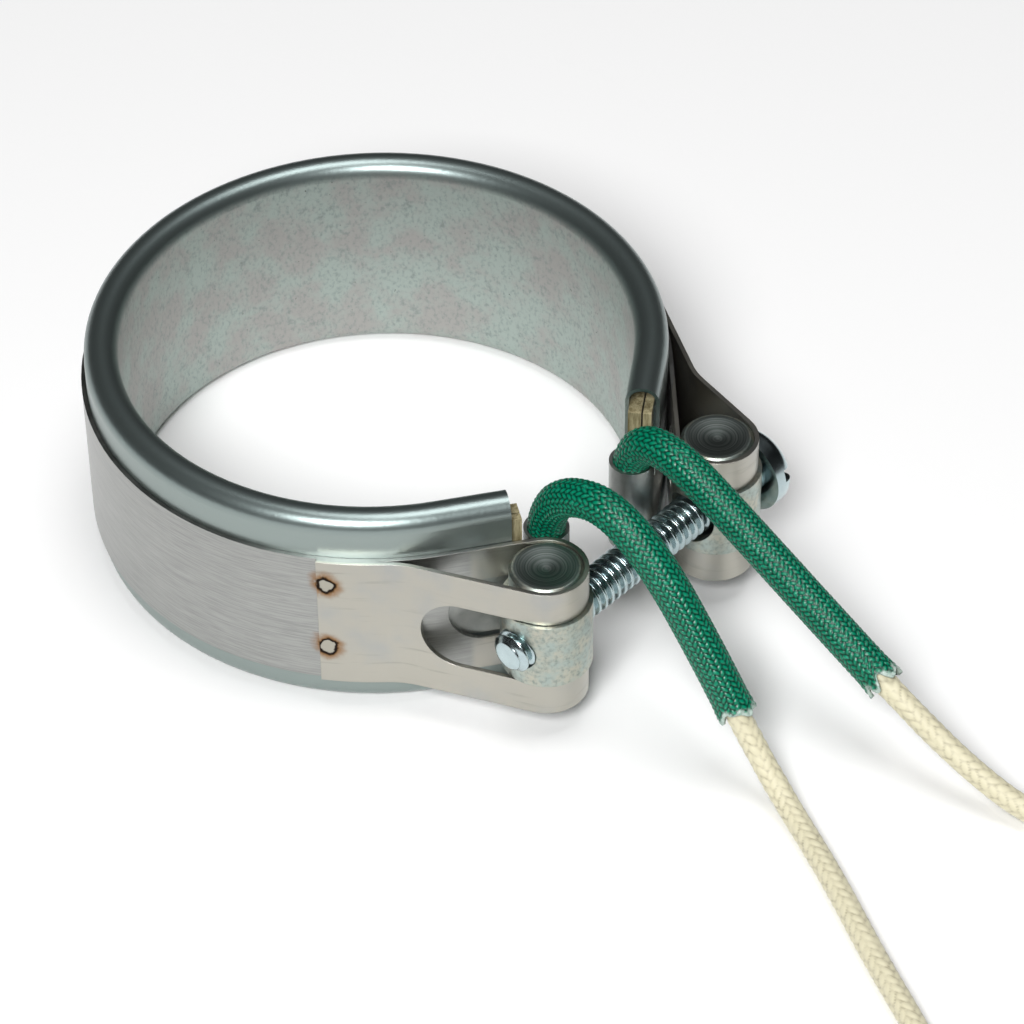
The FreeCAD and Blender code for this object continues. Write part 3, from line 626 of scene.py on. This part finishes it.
def barrel_finish(name, axis):
    """Plated steel with turned rings about the barrel's own upright axis."""
    finish, tree, shader = new_finish(name, Metallic=1.0)
    place = add(tree, "TexCoord").outputs["Object"]
    centred = add(tree, "Mapping", {0: place, 1: (-axis[0] * MM, -axis[1] * MM, 0)})
    parts = add(tree, "SeparateXYZ", {0: centred.outputs[0]})
    flat = add(tree, "CombineXYZ", {0: parts.outputs[0], 1: parts.outputs[1]})
    out = add(tree, "VectorMath", {0: flat.outputs[0]}, operation="LENGTH").outputs["Value"]
    rings = add(tree, "TexNoise", {"W": out, "Scale": RINGS_PER_METRE, "Detail": 3.0},
                noise_dimensions="1D").outputs[0]
    bloom = wavy(tree, (1, 1, 1), 2.2, 5.0, 0.65)
    inner = ramp_of(tree, out, DISH_FROM * MM, DISH_TO * MM)
    # Painted shade: the end faces, inside 3.35 mm of the axis, are dark, with the tool's rings
    # lighter over it.
    face = blend_of(tree, ramp_of(tree, rings, 0.35, 0.75), END_FACE_SHADE, FACE_RING)
    skin_tone = blend_of(tree, ramp_of(tree, bloom, 0.38, 0.66), PLATING_COOL, PLATING_WARM)
    spangle = ramp_of(tree, wavy(tree, (1, 1, 1), 0.5, 3.0), 0.42, 0.75)
    skin_tone = blend_of(tree, spangle, skin_tone, PLATING_DULL)
    tree.links.new(blend_of(tree, inner, face, skin_tone), shader.inputs["Base Color"])
    tree.links.new(scaled(tree, inner, 0.36, 0.40), shader.inputs["Roughness"])
    edge = add(tree, "Bevel", {"Radius": 0.15 * MM}, samples=4)
    bump = add(tree, "Bump", {"Strength": 0.25, "Distance": 0.02 * MM, "Height": rings,
                              "Normal": edge.outputs[0]})
    tree.links.new(bump.outputs[0], shader.inputs["Normal"])
    return finish


for barrel, axis in BARRELS.items():
    dress(barrel, barrel_finish("barrel_zinc_" + barrel.split("_")[0], axis))


# ------------------------------------------------------------------ clamp screw
# A slotted pan-head machine screw, thread rolled up to the head and bright zinc
# plated. Only its head is the frame's own shape: the shank gets its real thread.

SCREW_ACROSS = 36.5
SCREW_HEIGHT = -0.65
SCREW_TIP = -18.6
SCREW_SEAT = 20.5
HEAD_OVERLAP = 0.02
CREST = 2.41
ROOT = 1.70
PITCH = 1.058
THREAD_AROUND = 56
STATIONS_A_PITCH = 14
TIP_CENTRE = 0.001
TIP_FACE = 1.2
TIP_EDGE = 1.55
TIP_SLOPE = 1.35
ZINC_DARK = (0.36, 0.45, 0.47)
ZINC_LIGHT = (0.58, 0.69, 0.71)


def thread_places():
    """A helical thread: the radius at a place is a rounded trapezium of the place's phase,
    which is its distance in pitches less its share of a turn. A cone trims the first
    turns, and a flat face closes the tip."""
    along = np.arange(0, SCREW_SEAT - SCREW_TIP, PITCH / STATIONS_A_PITCH)
    turn = np.arange(THREAD_AROUND) / THREAD_AROUND
    phase = along[:, None] / PITCH - turn[None, :]
    saw = 1 - np.abs(2 * (phase - np.floor(phase)) - 1)
    flank = np.clip((saw - 0.14) / 0.66, 0, 1)
    shape = flank * flank * (3 - 2 * flank) * 0.35 + flank * 0.65
    thread = np.minimum(ROOT + (CREST - ROOT) * shape, TIP_EDGE + TIP_SLOPE * along[:, None])
    centre = np.full((1, THREAD_AROUND), TIP_CENTRE)
    thread = np.concatenate([centre, centre + TIP_FACE, thread])
    station = np.concatenate([[0.0, 0.0], along])[:, None] + 0 * thread
    round_it = 2 * np.pi * turn[None, :]
    return np.stack([SCREW_ACROSS + thread * np.sin(round_it), SCREW_TIP + station,
                     SCREW_HEIGHT + thread * np.cos(round_it)], -1)


shank = skin("clamp_screw_thread", thread_places())

head_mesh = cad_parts["clamp_screw"].data.copy()
cut = bmesh.new()
cut.from_mesh(head_mesh)
bmesh.ops.remove_doubles(cut, verts=cut.verts, dist=1e-6)
bmesh.ops.bisect_plane(cut, geom=cut.verts[:] + cut.edges[:] + cut.faces[:], dist=1e-7,
                       plane_co=(0, (SCREW_SEAT - HEAD_OVERLAP) * MM, 0), plane_no=(0, 1, 0),
                       clear_inner=True)
cut.to_mesh(head_mesh)
cut.free()
head = bpy.data.objects.new("clamp_screw_head", head_mesh)
bpy.context.collection.objects.link(head)

screw_zinc, screw_tree, screw_shader = new_finish("screw_zinc", Metallic=1.0)
plating = wavy(screw_tree, (1, 1, 1), 1.4, 4.0, 0.6)
screw_tree.links.new(blend_of(screw_tree, plating, ZINC_DARK, ZINC_LIGHT),
                     screw_shader.inputs["Base Color"])
screw_tree.links.new(scaled(screw_tree, plating, 0.12, 0.32), screw_shader.inputs["Roughness"])
for piece in (shank, head):
    piece.data.materials.clear()
    piece.data.materials.append(screw_zinc)
    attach(piece, "screw")
    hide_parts("clamp_screw")


# ------------------------------------------------------------------ bench and light
# A pale bench that runs far past the view, one broad lamp overhead, one in front
# beside the viewer, and a room that is bright above and dim half way up.

BENCH_HALF = 3.0
FLOOR_HEIGHT = cad_low[2] - 0.02 * MM
BENCH_WHITE = (0.97, 0.97, 0.97, 1)

bench_mesh = bpy.data.meshes.new("bench")
bench_mesh.from_pydata([(sx * BENCH_HALF, sy * BENCH_HALF, FLOOR_HEIGHT)
                        for sx, sy in ((-1, -1), (1, -1), (1, 1), (-1, 1))], [], [(0, 1, 2, 3)])
bench = bpy.data.objects.new("bench", bench_mesh)
bpy.context.collection.objects.link(bench)
bench_mesh.materials.append(new_finish("bench_paint", Roughness=0.9, Base_Color=BENCH_WHITE)[0])


def lamp(name, place, aim, size, watts):
    """A square soft lamp that faces a point."""
    light = bpy.data.lights.new(name, "AREA")
    light.size = size
    light.energy = watts
    holder = bpy.data.objects.new(name, light)
    holder.location = place
    holder.rotation_euler = (Vector(aim) - Vector(place)).to_track_quat("-Z", "Y").to_euler()
    bpy.context.collection.objects.link(holder)


lamp("overhead", (0.05, 0.10, 0.9), (0.02, 0, 0), 0.45, 3.4)
lamp("front", (0.38, -0.62, 0.72), (0.02, 0, 0), 0.35, 10)

room = bpy.data.worlds.new("room")
bpy.context.scene.world = room
room.use_nodes = True
sky = room.node_tree.nodes["Background"]
way = add(room.node_tree, "SeparateXYZ", {0: add(room.node_tree, "TexCoord").outputs["Generated"]})
up = add(room.node_tree, "MapRange", {0: way.outputs["Z"], 1: 0.62, 2: 0.97, 3: 0.14, 4: 0.9},
         interpolation_type="SMOOTHSTEP")
low_glow = add(room.node_tree, "MapRange", {0: way.outputs["Z"], 1: 0.0, 2: 0.5, 3: 0.35, 4: 0.0},
               interpolation_type="SMOOTHSTEP")
both = add(room.node_tree, "Math", {0: up.outputs[0], 1: low_glow.outputs[0]}, operation="ADD")
room.node_tree.links.new(both.outputs[0], sky.inputs["Strength"])
bpy.context.scene.view_settings.view_transform = "Standard"
